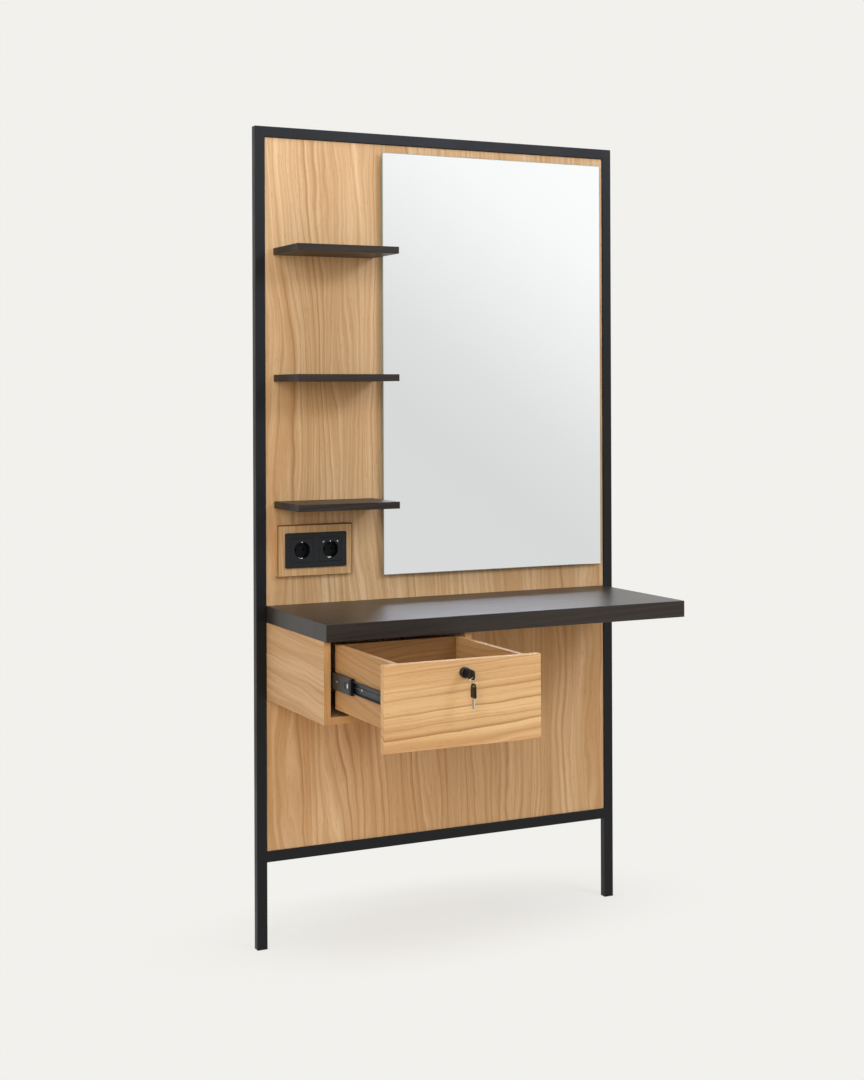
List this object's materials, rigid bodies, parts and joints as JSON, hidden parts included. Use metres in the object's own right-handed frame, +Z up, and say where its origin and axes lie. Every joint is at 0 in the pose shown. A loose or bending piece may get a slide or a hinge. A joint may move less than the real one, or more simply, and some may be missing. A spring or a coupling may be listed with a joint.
{
  "type": "salon styling station",
  "caption": "Wall-fixed salon styling station: tube frame, wood panel, mirror, shelves, worktop, lockable drawer and mains sockets.",
  "frame": {"origin": "on the floor at the foot of the wall, in the middle of the station's width", "axes": "+X to the right as the user sees it, +Y into the wall, +Z up"},
  "size_m": [0.96, 0.729, 1.9],
  "materials": {
    "frame_steel": "satin black powder coat",
    "light_wood": "light oak laminate",
    "dark_wood": "smoked oak laminate",
    "fibreboard": "plain fibreboard",
    "mirror_glass": "silvered glass, polished edges",
    "zinc_steel": "zinc plated",
    "bright_steel": "nickel plated",
    "slide_steel": "black zinc",
    "lock_black": "black, satin",
    "black_plastic": "moulded, satin",
    "socket_plastic": "anthracite, moulded",
    "grey_plastic": "moulded"
  },
  "bodies": {
    "root": {"frame_post_left": "frame_steel", "frame_post_right": "frame_steel", "frame_top_rail": "frame_steel", "frame_lower_rail": "frame_steel", "foot_glide_left": "black_plastic", "foot_glide_right": "black_plastic", "back_panel": "light_wood", "wall_plate_lower_left": "zinc_steel", "wall_plate_lower_right": "zinc_steel", "wall_plate_upper_left": "zinc_steel", "wall_plate_upper_right": "zinc_steel", "panel_screw_lower_left": "zinc_steel", "panel_screw_lower_right": "zinc_steel", "panel_screw_upper_left": "zinc_steel", "panel_screw_upper_right": "zinc_steel", "mirror_glass": "mirror_glass", "mirror_backing": "fibreboard", "shelf_lower": "dark_wood", "shelf_middle": "dark_wood", "shelf_upper": "dark_wood", "shelf_support_lower": "zinc_steel", "shelf_support_middle": "zinc_steel", "shelf_support_upper": "zinc_steel", "worktop": "dark_wood", "lock_strike": "zinc_steel", "worktop_bracket_middle": "frame_steel", "worktop_bracket_right": "frame_steel", "cabinet_side_left": "light_wood", "cabinet_side_right": "light_wood", "cabinet_bottom": "light_wood", "slide_outer_left": "slide_steel", "slide_outer_right": "slide_steel", "socket_board": "light_wood", "socket_frame": "socket_plastic", "socket_insert_left": "socket_plastic", "socket_insert_right": "socket_plastic", "earth_strap_left": "bright_steel", "earth_strap_right": "bright_steel", "socket_back_box": "grey_plastic"},
    "drawer": {"drawer_front": "light_wood", "drawer_side_left": "light_wood", "drawer_side_right": "light_wood", "drawer_back": "light_wood", "drawer_bottom": "fibreboard", "slide_inner_left": "slide_steel", "slide_inner_right": "slide_steel", "lock_housing": "lock_black", "lock_nut": "zinc_steel"},
    "slide_middle_left": {"slide_middle_left": "slide_steel"},
    "slide_middle_right": {"slide_middle_right": "slide_steel"},
    "ball_cage_outer_left": {"ball_cage_outer_left": "zinc_steel"},
    "ball_cage_outer_right": {"ball_cage_outer_right": "zinc_steel"},
    "ball_cage_inner_left": {"ball_cage_inner_left": "zinc_steel"},
    "ball_cage_inner_right": {"ball_cage_inner_right": "zinc_steel"},
    "lock_plug": {"lock_plug": "lock_black", "lock_cam": "zinc_steel", "cam_screw": "zinc_steel", "key_in_lock": "black_plastic"},
    "key_ring": {"key_ring": "bright_steel"},
    "spare_key": {"spare_key": "black_plastic"}
  },
  "joints": [
    {"name": "drawer_slide", "type": "slide", "parent": "root", "child": "drawer", "axis": [0, -1, 0], "range_m": [-0.2935, 0.006]},
    {"name": "slide_middle_left", "type": "slide", "parent": "root", "child": "slide_middle_left", "axis": [0, -1, 0], "range_m": [-0.1468, 0.0031]},
    {"name": "slide_middle_right", "type": "slide", "parent": "root", "child": "slide_middle_right", "axis": [0, -1, 0], "range_m": [-0.1468, 0.0031]},
    {"name": "cage_outer_left", "type": "slide", "parent": "root", "child": "ball_cage_outer_left", "axis": [0, -1, 0], "range_m": [-0.0734, 0.0016]},
    {"name": "cage_outer_right", "type": "slide", "parent": "root", "child": "ball_cage_outer_right", "axis": [0, -1, 0], "range_m": [-0.0734, 0.0016]},
    {"name": "cage_inner_left", "type": "slide", "parent": "root", "child": "ball_cage_inner_left", "axis": [0, -1, 0], "range_m": [-0.2202, 0.0046]},
    {"name": "cage_inner_right", "type": "slide", "parent": "root", "child": "ball_cage_inner_right", "axis": [0, -1, 0], "range_m": [-0.2202, 0.0046]},
    {"name": "lock_turn", "type": "hinge", "parent": "drawer", "child": "lock_plug", "pos_m": [-0.278, -0.678, 0.7215], "axis": [0, 1, 0], "range_deg": [0, 90]},
    {"name": "ring_hang", "type": "hinge", "parent": "lock_plug", "child": "key_ring", "pos_m": [-0.278, -0.719, 0.71375], "axis": [0, 1, 0], "range_deg": [-90, 0]},
    {"name": "spare_key_swing", "type": "hinge", "parent": "key_ring", "child": "spare_key", "pos_m": [-0.278, -0.719, 0.70065], "axis": [1, 0, 0], "range_deg": [-25, 25]}
  ],
  "couplings": [
    {"joint": "slide_middle_left", "follows": "drawer_slide", "ratio": 0.5},
    {"joint": "slide_middle_right", "follows": "drawer_slide", "ratio": 0.5},
    {"joint": "cage_outer_left", "follows": "drawer_slide", "ratio": 0.25},
    {"joint": "cage_outer_right", "follows": "drawer_slide", "ratio": 0.25},
    {"joint": "cage_inner_left", "follows": "drawer_slide", "ratio": 0.75},
    {"joint": "cage_inner_right", "follows": "drawer_slide", "ratio": 0.75},
    {"joint": "ring_hang", "follows": "lock_turn", "ratio": -1}
  ]
}
